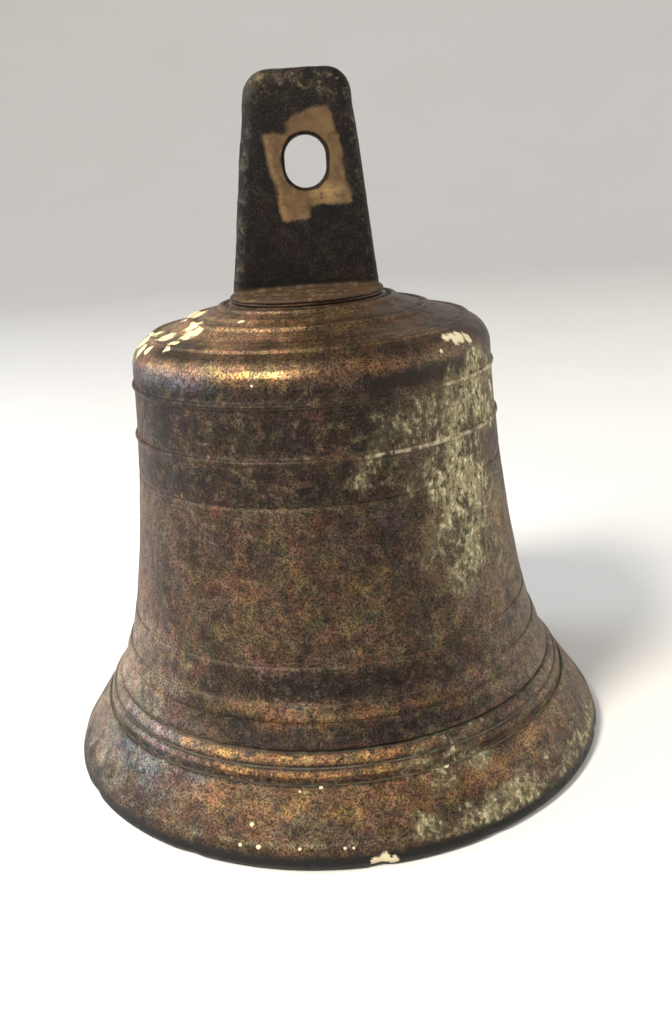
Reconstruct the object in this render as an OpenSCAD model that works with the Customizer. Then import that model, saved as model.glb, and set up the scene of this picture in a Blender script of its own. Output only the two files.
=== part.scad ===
// Signal bell: a cast bell, the hanger bolted through its crown and the clapper inside.
// Sizes are in millimetres. The origin is the centre of the mouth, level with the lip.
// Z runs up the bell's axis, and the hanger's broad faces look along -Y and +Y.

/* [Bell, outside] */
// Diameter across the lip
mouth_d = 204; // [196:1:216]
// Height of the crown's seat above the lip
bell_h = 168; // [162:1:176]
// Diameter of the straight shoulder
shoulder_d = 128.8; // [124:0.2:134]
// Fall of the crown towards the shoulder, in degrees
crown_slope = 18; // [12:1:22]
// Radius that rounds the shoulder into the crown
shoulder_round = 10; // [6:0.5:12]
// Depth of the shoulder's straight part, down to where the waist starts to spread
shoulder_h = 148; // [144:1:150]
// Length over which the waist leaves the shoulder's upright line
waist_reach = 25.4; // [15:0.1:40]
// Diameter of the flare's foot, just above the beads
flare_d = 166.4; // [163:0.2:170]
// Height of the flare's foot
flare_h = 33.2; // [32:0.2:36]
// Lean of the flare at its foot, in degrees from upright
flare_lean = 38.7; // [34:0.1:42]
// Length over which the flare keeps that lean
flare_reach = 13.5; // [8:0.5:18]
// Diameter at the top of the skirt, just below the beads
skirt_d = 178.6; // [177:0.2:182]
// Height of the skirt's top
skirt_h = 23.6; // [21:0.2:24.6]
// Height of the band that edges the lip
lip_band_h = 7.6; // [5:0.2:10]
// Distance that the band's upper corner stands in from the lip
lip_lean = 1.7; // [0.8:0.1:4]
// Radius that rolls the lip under
lip_round = 2.8; // [1:0.1:4]
// Radius on the band's upper corner
band_round = 1; // [0.5:0.1:2]

/* [Bell, wall] */
// Thickness of the crown at its seat
crown_wall = 9; // [7:0.5:11]
// Thickness of the waist at the shoulder
waist_wall = 7; // [5:0.5:9]
// Level thickness of the sound bow at the flare's foot
bow_wall = 14; // [11:0.5:17]
// Width of the flat on which the lip stands
lip_land = 4.5; // [3:0.5:7]
// Radius on the flat's inner corner
land_round = 1.5; // [0.5:0.1:2.5]
// Diameter of the flat inside the crown
inner_seat_d = 52; // [50:1:58]
// Radius between the crown and the waist, inside
inner_round = 9; // [5:0.5:12]

/* [Bell, mouldings] */
// Bulge of the two beads above the skirt
bead_bulge = 0.9; // [0.5:0.1:1.5]
// Width of the upper bead; the lower one takes the rest of the step
upper_bead_w = 5.4; // [4.6:0.1:6.2]
// Distance that the groove between the beads stands out of the step
bead_lift = 0.4; // [0:0.1:0.8]
// Width of the groove between the lower bead and the skirt
skirt_groove_w = 2.2; // [1.4:0.1:3]
// Depth of that groove
skirt_groove = 1; // [0.5:0.1:1.4]
// Depth of the undercut below the flare's foot
undercut = 1; // [0.6:0.1:2]
// Lower edge of the raised band on the flare
band_low = 41.4; // [39:0.2:43]
// Upper edge of the raised band on the flare
band_high = 46.2; // [45:0.2:50]
// Height by which the band stands out of the flare
band_proud = 0.8; // [0.4:0.1:1.4]
// Heights of the two wires round the shoulder
wire_hs = [142.6, 124.7]; // [118:0.1:146]
// Thickness of a wire
wire_d = 1.8; // [1.2:0.1:2.6]
// Heights of the two scribed lines round the waist
line_hs = [110.4, 58.7]; // [54:0.1:114]
// Width of a scribed line
line_d = 1; // [0.6:0.1:1.4]
// Diameters of the rings turned on the crown
crown_ring_ds = [62, 85, 112.6]; // [60:0.2:118]
// Thickness of a crown ring
crown_ring_d = 2.6; // [1.6:0.2:3.6]
// Depth of a crown ring's middle below the crown's face
crown_ring_sunk = 0.4; // [0:0.1:0.6]

/* [Hanger] */
// Height of the lug above the collar's rim
lug_h = 73.2; // [66:0.2:82]
// Width of the lug at its foot
lug_foot_w = 51.8; // [46:0.2:53]
// Width to which the lug's sides taper at its top
lug_top_w = 34.8; // [30:0.2:42]
// Sideways lean of the lug's top
lug_lean = 1.5; // [0:0.1:3]
// Thickness of the lug
lug_t = 14; // [12:0.5:17]
// Radius of the lug's long edges
lug_edge = 3.4; // [1.5:0.1:4.5]
// Radius of the lug's top corners
lug_corner = 9; // [7:0.5:11]
// Width of the upright slot for the hanging bolt
hole_w = 14.4; // [12:0.2:16]
// Height of that slot
hole_h = 17.4; // [16.6:0.2:20]
// Height of the slot's centre above the collar's rim
hole_up = 43.4; // [40:0.1:47]
// Sideways offset of the slot
hole_off = 2.9; // [0:0.1:4]
// Chamfer on the slot's two rims
hole_chamfer = 0.6; // [0.2:0.1:1]
// Diameter of the collar
collar_d = 55; // [54:0.5:58]
// Thickness of the collar at its rim
collar_rim = 1.3; // [1:0.1:2]
// Rise of the collar's domed top
collar_rise = 1.6; // [0.5:0.1:3]
// Diameter of the threaded shank
shank_d = 20; // [18:0.5:22]
// Shank that shows below the lock nut
shank_out = 3; // [2:0.5:5]
// Distance from the shank's end down to the pivot
tongue_l = 9.8; // [9:0.1:12]
// Width of the tongue, and of its round eye
tongue_w = 14.4; // [13:0.2:15]
// Thickness of the tongue
tongue_t = 9; // [7:0.5:10]

/* [Crown fixings] */
// Thickness of the leather under the collar
packing_t = 1; // [0.8:0.1:2]
// Diameter of the leather under the collar
packing_d = 53.4; // [50:0.2:54]
// Thickness of the leather inside the crown
inner_packing_t = 1.6; // [1:0.1:3]
// Diameter of the leather inside the crown
inner_packing_d = 46; // [42:0.5:49]
// Thickness of the plate washer
washer_t = 3.5; // [2:0.5:5]
// Diameter of the plate washer
washer_d = 44; // [40:0.5:46]
// Width across the flats of both nuts
nut_af = 30; // [29:0.5:34]
// Height of the main nut
nut_h = 14; // [11:0.5:17]
// Height of the lock nut
lock_nut_h = 9; // [6:0.5:10]
// Diameter of the peg that stops the hanger turning
peg_d = 5; // [3:0.5:6]
// Distance of the peg from the axis
peg_off = 18; // [15:0.5:20]
// Depth of the peg in the crown
peg_in_crown = 6; // [4:0.5:6.5]
// Depth of the peg in the hanger
peg_in_hanger = 7; // [4:0.5:9]

/* [Clapper] */
// Diameter of the pivot pin
pin_d = 7; // [5:0.5:7.5]
// Diameter of the pin's head
pin_head_d = 12; // [10:0.5:14]
// Thickness of the pin's head
pin_head_t = 4; // [2.5:0.5:5]
// Diameter of the pin's washer
pin_washer_d = 13; // [11:0.5:15]
// Thickness of the pin's washer
pin_washer_t = 1.4; // [1:0.1:2]
// Pin that shows beyond its split pin
pin_tail = 2.4; // [2:0.2:4]
// Wall of the bush in the tongue's eye
bush_wall = 1.5; // [1:0.1:2]
// Thickness of each cheek of the fork
cheek_t = 5; // [4:0.5:7]
// Width of the fork
fork_w = 17; // [16:0.5:20]
// Thickness of the yoke below the tongue
yoke_t = 6; // [4:0.5:9]
// Length of the cone that draws the yoke into the stem
neck_l = 8; // [6:0.5:12]
// Diameter of the stem below the fork
stem_top_d = 9; // [8:0.5:11]
// Diameter of the stem above the ball
stem_low_d = 11; // [9:0.5:13]
// Diameter of the shoulder that seats the ball
stem_collar_d = 16; // [14:0.5:18]
// Thickness of that shoulder
stem_collar_t = 3; // [2:0.5:5]
// Length of the cone above that shoulder
stem_cone_l = 2; // [1:0.5:4]
// Diameter of the spigot through the ball
spigot_d = 8; // [6:0.5:10]
// Diameter of the ball
ball_d = 36; // [32:0.5:38]
// Height of the ball's centre above the lip
ball_h = 31.5; // [30:0.5:40]
// Diameter of the flats on the ball's top and bottom
ball_flat_d = 19; // [17:0.5:22]
// Width across the flats of the ball's nut
ball_nut_af = 13; // [12:0.5:16]
// Height of the ball's nut
ball_nut_h = 6; // [4:0.5:7]
// Spigot that shows below the ball's nut
spigot_out = 4.6; // [4.2:0.1:5.5]
// Diameter of the split pins' wire
split_d = 1.8; // [1.2:0.1:2]

/* [Hidden] */
$fn = 96;

// Clearances: threads and pressed fits, the peg's sliding fit, running fits and free gaps
seat_clear = 0.02;
peg_clear = 0.05;
run_clear = 0.05;
free_gap = 0.4;
// Overrun of a cut past the face that it opens
over = 1;
// The turned seat on the crown: its margin round the collar, and its step
seat_margin = 0.8;
seat_step = 0.4;
// Chamfers on the shank's end and on the ends of the pin and the spigot
shank_chamfer = 1.2;
end_chamfer = 0.8;
// Distance from a nut's flats in to where its chamfer starts
nut_land = 0.3;

// The bell's heights and radii
lip_r = mouth_d / 2;
shoulder_r = shoulder_d / 2;
flare_r = flare_d / 2;
crown_under_z = bell_h - crown_wall;
seat_r = collar_d / 2 + seat_margin;
crown_bore_r = shank_d / 2 + free_gap;
crown_corner_z = bell_h - seat_step - (shoulder_r - seat_r) * tan(crown_slope);
inner_waist_r = shoulder_r - waist_wall;
inner_corner_z = crown_under_z - (inner_waist_r - inner_seat_d / 2) * tan(crown_slope);

// The hanger's stack, from the collar down to the pivot
collar_z = bell_h + packing_t;
collar_top_z = collar_z + collar_rim;
lug_top_z = collar_top_z + lug_h;
packing_low_z = crown_under_z - inner_packing_t;
washer_low_z = packing_low_z - washer_t;
nut_low_z = washer_low_z - nut_h;
lock_nut_low_z = nut_low_z - lock_nut_h;
shank_end_z = lock_nut_low_z - shank_out;
pivot_z = shank_end_z - tongue_l;
bush_r = pin_d / 2 + run_clear + bush_wall;
bush_l = tongue_t + free_gap;

// The clapper's stations across the fork and down the stem
slot_w = bush_l + 2 * free_gap;
fork_t = slot_w + 2 * cheek_t;
yoke_top_z = pivot_z - tongue_w / 2 - 3 * free_gap;
yoke_low_z = yoke_top_z - yoke_t;
neck_low_z = yoke_low_z - neck_l;
ball_flat_up = sqrt(pow(ball_d / 2, 2) - pow(ball_flat_d / 2, 2));
ball_top_z = ball_h + ball_flat_up;
ball_low_z = ball_h - ball_flat_up;
ball_nut_low_z = ball_low_z - ball_nut_h;
spigot_end_z = ball_nut_low_z - spigot_out;
spigot_split_z = ball_nut_low_z - free_gap - split_d / 2;
pin_split_y = fork_t / 2 + pin_washer_t + free_gap + split_d / 2;
pin_end_y = pin_split_y + split_d / 2 + pin_tail;

// Points on a cubic curve from a to d, drawn towards b and c
function curve(a, b, c, d, n) =
    [for (i = [0:n]) let (t = i / n, s = 1 - t)
        s * s * s * a + 3 * s * s * t * b + 3 * s * t * t * c + t * t * t * d];

// Points on the arc that rounds corner b of the path a, b, c
function rounded(a, b, c, r, n) =
    let (u = (a - b) / norm(a - b), v = (c - b) / norm(c - b),
        half = acos(u * v) / 2, mid = (u + v) / norm(u + v),
        centre = b + mid * r / sin(half), p = b + u * r / tan(half), q = b + v * r / tan(half),
        from = atan2((p - centre)[1], (p - centre)[0]),
        turn = atan2((q - centre)[1], (q - centre)[0]) - from,
        sweep = turn > 180 ? turn - 360 : turn < -180 ? turn + 360 : turn)
    [for (i = [0:n]) centre + r * [cos(from + sweep * i / n), sin(from + sweep * i / n)]];

// The waist outside and inside, as curves from the flare's foot up to the shoulder
flare_foot = [flare_r, flare_h];
flare_aim = flare_foot + flare_reach * [-tan(flare_lean), 1];
waist_steps = 12;
waist = curve(flare_foot, flare_aim, [shoulder_r, shoulder_h - waist_reach],
    [shoulder_r, shoulder_h], waist_steps);
land_edge = [lip_r - lip_round - lip_land, 0];
bow_foot = flare_foot - [bow_wall, 0];
bow_aim = bow_foot + flare_reach * (bow_foot - land_edge) / norm(bow_foot - land_edge);
inner_waist = curve(bow_foot, bow_aim, [inner_waist_r, shoulder_h - waist_reach],
    [inner_waist_r, inner_corner_z - inner_round], waist_steps);

// The waist's outer radius at a height, and the crown's height at a radius
function waist_r(z) = lookup(z, [for (p = waist) [p[1], p[0]]]);
function crown_z(r) = crown_corner_z + (shoulder_r - r) * tan(crown_slope);

// The step from the skirt up to the undercut, and the grooves beside the two beads on it
skirt_top = [skirt_d / 2, skirt_h];
groove_top = flare_foot - [undercut, undercut];
step_up = (groove_top - skirt_top) / norm(groove_top - skirt_top);
step_out = [step_up[1], -step_up[0]];
groove_mid = groove_top - upper_bead_w * step_up + bead_lift * step_out;
groove_low = skirt_top + skirt_groove_w * step_up - skirt_groove / 2 * step_out;
groove_foot = skirt_top + skirt_groove / 2 * step_up - skirt_groove * step_out;

// The bell's section: up the outside, through the crown's bore and down the inside
module bell_section() {
    under_edge = [lip_r, 0];
    lip_side = [lip_r, lip_round];
    band_corner = [lip_r - lip_lean, lip_band_h];
    polygon(concat(
        rounded(land_edge, under_edge, lip_side, lip_round, 5),
        rounded(lip_side, band_corner, skirt_top, band_round, 2),
        [skirt_top, groove_foot, groove_low, groove_mid, groove_top],
        waist,
        rounded([shoulder_r, shoulder_h], [shoulder_r, crown_corner_z],
            [seat_r, crown_z(seat_r)], shoulder_round, 7),
        [[seat_r, crown_z(seat_r)], [seat_r, bell_h]],
        [[crown_bore_r, bell_h], [crown_bore_r, crown_under_z]],
        [[inner_seat_d / 2, crown_under_z]],
        rounded([inner_seat_d / 2, crown_under_z], [inner_waist_r, inner_corner_z],
            [inner_waist_r, shoulder_h / 2], inner_round, 5),
        [for (i = [waist_steps:-1:0]) inner_waist[i]],
        rounded(bow_foot, land_edge, under_edge, land_round, 2)));
}

// A bead that bulges out of the chord between two grooves
module bead(a, b) {
    half_chord = norm(b - a) / 2;
    bead_r = (half_chord * half_chord + bead_bulge * bead_bulge) / (2 * bead_bulge);
    out = [(b - a)[1], -(b - a)[0]] / norm(b - a);
    translate((a + b) / 2 - out * (bead_r - bead_bulge))
        circle(r = bead_r, $fn = 48);
}

// The raised band on the flare, with its lower edge sharp and its upper edge eased
module raised_band() {
    polygon([
        [waist_r(band_low) - over, band_low],
        [waist_r(band_low) + band_proud, band_low],
        [waist_r(band_high) + band_proud, band_high - band_proud],
        [waist_r(band_high) + band_proud / 2, band_high],
        [waist_r(band_high) - over, band_high]]);
}

module bell_body() {
    color("saddlebrown")
    difference() {
        rotate_extrude($fn = 180)
        difference() {
            union() {
                bell_section();
                bead(groove_low, groove_mid);
                bead(groove_mid, groove_top);
                raised_band();
                for (z = wire_hs)
                    translate([waist_r(z), z]) circle(d = wire_d, $fn = 24);
                for (d = crown_ring_ds)
                    translate([d / 2, crown_z(d / 2) - crown_ring_sunk])
                        circle(d = crown_ring_d, $fn = 24);
            }
            for (z = line_hs)
                translate([waist_r(z), z]) circle(d = line_d, $fn = 16);
        }
        translate([peg_off, 0, bell_h - peg_in_crown])
            cylinder(d = peg_d + 2 * peg_clear, h = peg_in_crown + over, $fn = 48);
    }
}

// A disc along Y with rounded rims, for the lug's top corners
module corner_disc() {
    rotate([90, 0, 0])
    rotate_extrude($fn = 32)
    intersection() {
        offset(r = lug_edge, $fn = 32)
            square([2 * (lug_corner - lug_edge), lug_t - 2 * lug_edge], center = true);
        translate([0, -lug_t / 2]) square([lug_corner, lug_t]);
    }
}

// The lug: two rounded discs at the top, drawn down to four rounded posts at the foot
module lug_blank() {
    foot_x = lug_foot_w / 2 - lug_edge;
    foot_y = lug_t / 2 - lug_edge;
    side = atan2((lug_foot_w - lug_top_w) / 2, lug_h);
    corner_x = lug_top_w / 2 - lug_corner / cos(side) + lug_corner * tan(side);
    hull() {
        for (s = [-1, 1])
            translate([lug_lean + s * corner_x, 0, lug_top_z - lug_corner])
                corner_disc();
        for (x = [-foot_x, foot_x], y = [-foot_y, foot_y])
            translate([x, y, collar_z]) cylinder(r = lug_edge, h = collar_rim, $fn = 32);
    }
}

// The domed collar, the shank through the crown and the tongue that carries the clapper
module hanger_foot() {
    dome_r = (pow(collar_d / 2, 2) + pow(collar_rise, 2)) / (2 * collar_rise);
    dome_a = asin(collar_d / 2 / dome_r);
    rotate_extrude()
    polygon(concat(
        [[0, collar_z], [collar_d / 2, collar_z]],
        [for (i = [6:-1:0]) [0, collar_top_z + collar_rise - dome_r]
            + dome_r * [sin(dome_a * i / 6), cos(dome_a * i / 6)]]));
    translate([0, 0, shank_end_z + shank_chamfer])
        cylinder(d = shank_d, h = collar_z - shank_end_z);
    translate([0, 0, shank_end_z])
        cylinder(d1 = shank_d - 2 * shank_chamfer, d2 = shank_d, h = shank_chamfer);
    translate([-tongue_w / 2, -tongue_t / 2, pivot_z])
        cube([tongue_w, tongue_t, tongue_l + shank_chamfer]);
    translate([0, tongue_t / 2, pivot_z]) rotate([90, 0, 0])
        cylinder(d = tongue_w, h = tongue_t);
}

// The slot's tool: its section across the lug, flared at both faces, turned at the two
// ends and run straight between them
module lug_hole() {
    hole_r = hole_w / 2;
    straight = hole_h - hole_w;
    flare_y = lug_t / 2 - hole_chamfer;
    out_y = lug_t / 2 + over;
    out_r = hole_r + hole_chamfer + over;
    half = [[0, -out_y], [out_r, -out_y], [hole_r, -flare_y], [hole_r, flare_y],
        [out_r, out_y], [0, out_y]];
    translate([hole_off, 0, collar_top_z + hole_up]) {
        for (s = [-1, 1])
            translate([0, 0, s * straight / 2]) rotate([90, 0, 0])
                rotate_extrude() polygon(half);
        for (m = [0, 1])
            mirror([m, 0, 0]) translate([0, 0, -straight / 2])
                linear_extrude(height = straight) polygon(half);
    }
}

module hanger() {
    color("dimgray")
    difference() {
        union() {
            lug_blank();
            hanger_foot();
        }
        lug_hole();
        translate([0, 0, pivot_z]) rotate([90, 0, 0])
            cylinder(r = bush_r + seat_clear, h = tongue_t + 2 * over, center = true);
        translate([peg_off, 0, collar_z - over])
            cylinder(d = peg_d + 2 * peg_clear, h = peg_in_hanger + over, $fn = 48);
    }
}

// A flat ring: a washer, a packing or a bush
module ring(outer_d, inner_d, t) {
    difference() {
        cylinder(d = outer_d, h = t);
        translate([0, 0, -over]) cylinder(d = inner_d, h = t + 2 * over);
    }
}

module collar_packing() {
    color("sienna")
    difference() {
        translate([0, 0, bell_h]) ring(packing_d, 2 * crown_bore_r, packing_t);
        translate([peg_off, 0, bell_h - over])
            cylinder(d = peg_d + 2 * peg_clear, h = packing_t + 2 * over, $fn = 48);
    }
}

module crown_packing() {
    color("sienna")
    translate([0, 0, packing_low_z])
        ring(inner_packing_d, 2 * crown_bore_r, inner_packing_t);
}

module crown_washer() {
    color("gray")
    translate([0, 0, washer_low_z])
        ring(washer_d, shank_d + 2 * free_gap, washer_t);
}

// A hexagon nut with chamfered corners on both faces
module hex_nut(af, h, bore_d) {
    corner_r = af / cos(30) / 2;
    land_r = af / 2 - nut_land;
    drop = (corner_r - land_r) * tan(30);
    difference() {
        intersection() {
            cylinder(r = corner_r, h = h, $fn = 6);
            rotate_extrude()
            polygon([[0, 0], [land_r, 0], [corner_r, drop], [corner_r, h - drop],
                [land_r, h], [0, h]]);
        }
        translate([0, 0, -over]) cylinder(d = bore_d, h = h + 2 * over);
    }
}

module hanger_nut() {
    color("darkslategray")
    translate([0, 0, nut_low_z]) rotate(10)
        hex_nut(nut_af, nut_h, shank_d + 2 * seat_clear);
}

module hanger_lock_nut() {
    color("slategray")
    translate([0, 0, lock_nut_low_z]) rotate(34)
        hex_nut(nut_af, lock_nut_h, shank_d + 2 * seat_clear);
}

module hanger_peg() {
    color("lightsteelblue")
    translate([peg_off, 0, bell_h - peg_in_crown])
        cylinder(d = peg_d, h = peg_in_crown + packing_t + peg_in_hanger - free_gap, $fn = 48);
}

module pivot_bush() {
    color("goldenrod")
    translate([0, bush_l / 2, pivot_z]) rotate([90, 0, 0])
        ring(2 * bush_r, pin_d + 2 * run_clear, bush_l);
}

module pivot_pin() {
    color("silver")
    translate([0, 0, pivot_z]) rotate([-90, 0, 0])
    difference() {
        rotate_extrude()
        polygon([
            [0, -fork_t / 2 - pin_head_t],
            [pin_head_d / 2 - end_chamfer, -fork_t / 2 - pin_head_t],
            [pin_head_d / 2, -fork_t / 2 - pin_head_t + end_chamfer],
            [pin_head_d / 2, -fork_t / 2],
            [pin_d / 2, -fork_t / 2],
            [pin_d / 2, pin_end_y - end_chamfer],
            [pin_d / 2 - end_chamfer, pin_end_y],
            [0, pin_end_y]]);
        translate([0, 0, pin_split_y]) rotate([0, 90, 0])
            cylinder(d = split_d + 2 * run_clear, h = 2 * pin_d, center = true, $fn = 32);
    }
}

module pivot_washer() {
    color("gray")
    translate([0, fork_t / 2 + pin_washer_t, pivot_z]) rotate([90, 0, 0])
        ring(pin_washer_d, pin_d + 2 * run_clear, pin_washer_t);
}

// A split pin along X through a shaft: its eye, its straight part and two spread legs
module split_pin(shaft_d) {
    reach = shaft_d / 2 + free_gap;
    eye_r = split_d * 1.1;
    leg_l = 1.6 * split_d;
    rotate([0, 90, 0]) cylinder(d = split_d, h = 2 * reach, center = true, $fn = 32);
    translate([-reach - eye_r, 0, 0])
        rotate_extrude($fn = 48) translate([eye_r, 0]) circle(d = split_d * 0.8, $fn = 24);
    for (a = [40, -40])
        translate([reach, 0, 0]) rotate([0, 0, a]) rotate([0, 90, 0])
            cylinder(d = split_d * 0.7, h = leg_l, $fn = 24);
}

module pivot_split_pin() {
    color("lightgray")
    translate([0, pin_split_y, pivot_z]) rotate([90, 0, 0]) split_pin(pin_d);
}

// The fork: cheeks with round tops, a yoke below the tongue and a cone into the stem
module clapper_fork() {
    difference() {
        union() {
            translate([0, 0, pivot_z]) rotate([90, 0, 0])
                cylinder(d = fork_w, h = fork_t, center = true);
            translate([-fork_w / 2, -fork_t / 2, yoke_low_z])
                cube([fork_w, fork_t, pivot_z - yoke_low_z]);
            intersection() {
                translate([-fork_w / 2, -fork_t / 2, neck_low_z])
                    cube([fork_w, fork_t, neck_l]);
                translate([0, 0, neck_low_z])
                    cylinder(d1 = stem_top_d, d2 = norm([fork_w, fork_t]), h = neck_l);
            }
        }
        translate([-fork_w, -slot_w / 2, yoke_top_z]) cube([2 * fork_w, slot_w, fork_w * 2]);
        translate([0, 0, pivot_z]) rotate([90, 0, 0])
            cylinder(d = pin_d + 2 * run_clear, h = fork_t + 2 * over, center = true);
    }
}

module clapper_stem() {
    collar_up_z = ball_top_z + stem_collar_t;
    color("darkgray")
    difference() {
        union() {
            clapper_fork();
            rotate_extrude($fn = 64)
            polygon([
                [0, spigot_end_z],
                [spigot_d / 2 - end_chamfer, spigot_end_z],
                [spigot_d / 2, spigot_end_z + end_chamfer],
                [spigot_d / 2, ball_top_z],
                [stem_collar_d / 2, ball_top_z],
                [stem_collar_d / 2, collar_up_z],
                [stem_low_d / 2, collar_up_z + stem_cone_l],
                [stem_top_d / 2, neck_low_z],
                [stem_top_d / 2, yoke_low_z + over],
                [0, yoke_low_z + over]]);
        }
        translate([0, 0, spigot_split_z]) rotate([0, 90, 0])
            cylinder(d = split_d + 2 * run_clear, h = 2 * spigot_d, center = true, $fn = 32);
    }
}

module clapper_ball() {
    color("peru")
    difference() {
        intersection() {
            translate([0, 0, ball_h]) sphere(d = ball_d);
            translate([0, 0, ball_low_z]) cylinder(d = 2 * ball_d, h = 2 * ball_flat_up);
        }
        translate([0, 0, ball_low_z - over])
            cylinder(d = spigot_d + 2 * run_clear, h = 2 * ball_flat_up + 2 * over);
    }
}

module ball_nut() {
    color("slategray")
    translate([0, 0, ball_nut_low_z]) rotate(20)
        hex_nut(ball_nut_af, ball_nut_h, spigot_d + 2 * run_clear);
}

module ball_split_pin() {
    color("lightgray")
    translate([0, 0, spigot_split_z]) split_pin(spigot_d);
}

bell_body();
hanger();
collar_packing();
crown_packing();
crown_washer();
hanger_nut();
hanger_lock_nut();
hanger_peg();
pivot_bush();
pivot_pin();
pivot_washer();
pivot_split_pin();
clapper_stem();
clapper_ball();
ball_nut();
ball_split_pin();
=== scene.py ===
# %% [markdown]
# # A signal bell in its old patina
# The bell hangs on a dark lug that is bolted through its crown, and a ball clapper swings inside.
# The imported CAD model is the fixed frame: it says where every piece is. This script gives the
# castings their worn skins, cuts the threads and paints every surface.

# %% Load the frame
import math

import bmesh
import bpy
from mathutils import Matrix, Vector, noise


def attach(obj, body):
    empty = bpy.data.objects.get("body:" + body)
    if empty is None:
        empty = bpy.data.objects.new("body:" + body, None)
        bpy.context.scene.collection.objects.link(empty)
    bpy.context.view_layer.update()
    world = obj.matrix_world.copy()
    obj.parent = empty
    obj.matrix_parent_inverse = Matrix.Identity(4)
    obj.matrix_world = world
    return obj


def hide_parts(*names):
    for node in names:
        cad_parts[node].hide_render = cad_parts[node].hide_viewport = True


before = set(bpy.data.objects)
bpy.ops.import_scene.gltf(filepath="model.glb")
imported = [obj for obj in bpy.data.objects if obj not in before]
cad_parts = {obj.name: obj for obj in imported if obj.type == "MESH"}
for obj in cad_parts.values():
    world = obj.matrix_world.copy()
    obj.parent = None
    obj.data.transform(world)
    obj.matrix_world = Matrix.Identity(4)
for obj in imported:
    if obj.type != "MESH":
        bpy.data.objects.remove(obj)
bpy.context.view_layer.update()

MM = 0.001
print("pieces in the frame:", ", ".join(sorted(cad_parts)))

# %% [markdown]
# ## The camera
# The photograph looks down on the bell from a hand held a little to one side, so the camera is
# tipped and rolled. A look-at constraint would be shorter, but it can't roll. Three unit vectors
# are turned one after another instead, and they become the columns of the camera's matrix.

# %% Camera
IMAGE_W, IMAGE_H = 672, 1014
FOCAL_PIXELS = 1050
SENSOR_MM = 36
camera_at = Vector((0, -380.6, 214.8)) * MM
camera_pitch, camera_yaw, camera_roll = (math.radians(a) for a in (18.458, 0.7236, -4.1466))

ahead = Vector((math.sin(camera_yaw) * math.cos(camera_pitch),
                math.cos(camera_yaw) * math.cos(camera_pitch),
                -math.sin(camera_pitch)))
level_right = Vector((math.cos(camera_yaw), -math.sin(camera_yaw), 0))
level_up = level_right.cross(ahead)
right = level_right * math.cos(camera_roll) + level_up * math.sin(camera_roll)
up = level_up * math.cos(camera_roll) - level_right * math.sin(camera_roll)

lens = bpy.data.cameras.new("camera")
lens.sensor_width = SENSOR_MM
lens.lens = FOCAL_PIXELS / max(IMAGE_W, IMAGE_H) * SENSOR_MM
lens.clip_start = 0.01
camera = bpy.data.objects.new("camera", lens)
bpy.context.scene.collection.objects.link(camera)
camera.matrix_world = (Matrix.Translation(camera_at)
                       @ Matrix((right, up, -ahead)).transposed().to_4x4())
bpy.context.scene.camera = camera
print("lens", round(lens.lens, 2), "mm")

# %% [markdown]
# ## Shader sums as Python
# A patina is a pile of masks, and masks are sums. Wired by hand they would be hundreds of lines,
# so a small class stands for one socket, and Python's own operators add the Math nodes.

# %% Wires
class Wire:
    """A socket of a shader node. Sums on it add Math nodes to its finish."""

    def __init__(self, finish, socket):
        self.finish = finish
        self.socket = socket

    def maths(self, operation, *values):
        return self.finish.add("Math", {"operation": operation}, dict(enumerate(values)))

    def __add__(self, other):
        return self.maths("ADD", self, other)

    def __sub__(self, other):
        return self.maths("SUBTRACT", self, other)

    def __rsub__(self, other):
        return self.maths("SUBTRACT", other, self)

    def __mul__(self, other):
        return self.maths("MULTIPLY", self, other)

    def __truediv__(self, other):
        return self.maths("DIVIDE", self, other)

    def __pow__(self, other):
        return self.maths("POWER", self, other)

    __radd__ = __add__
    __rmul__ = __mul__

    def capped(self):
        return self.maths("MINIMUM", self, 1)

    def above(self, start, end):
        """0 below start, 1 past end, and smooth between them. It falls instead if end is lower."""
        flip = end < start
        low, high = sorted((start, end))
        ends = {"From Min": low, "From Max": high, "To Min": float(flip), "To Max": float(not flip)}
        return self.finish.add("MapRange", {"interpolation_type": "SMOOTHSTEP"},
                               {"Value": self, **ends})

    def within(self, low, high, soft):
        """1 between low and high, and 0 from soft beyond them."""
        return self.above(low - soft, low + soft) * self.above(high + soft, high - soft)


print("wires are ready")

# %% [markdown]
# A finish is a material with the places on its piece at hand, in millimetres. They come from
# Object coordinates, so nothing slides when a body moves. Every node that isn't a sum comes from
# one method, which sets the node's settings first and then its inputs.

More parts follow.
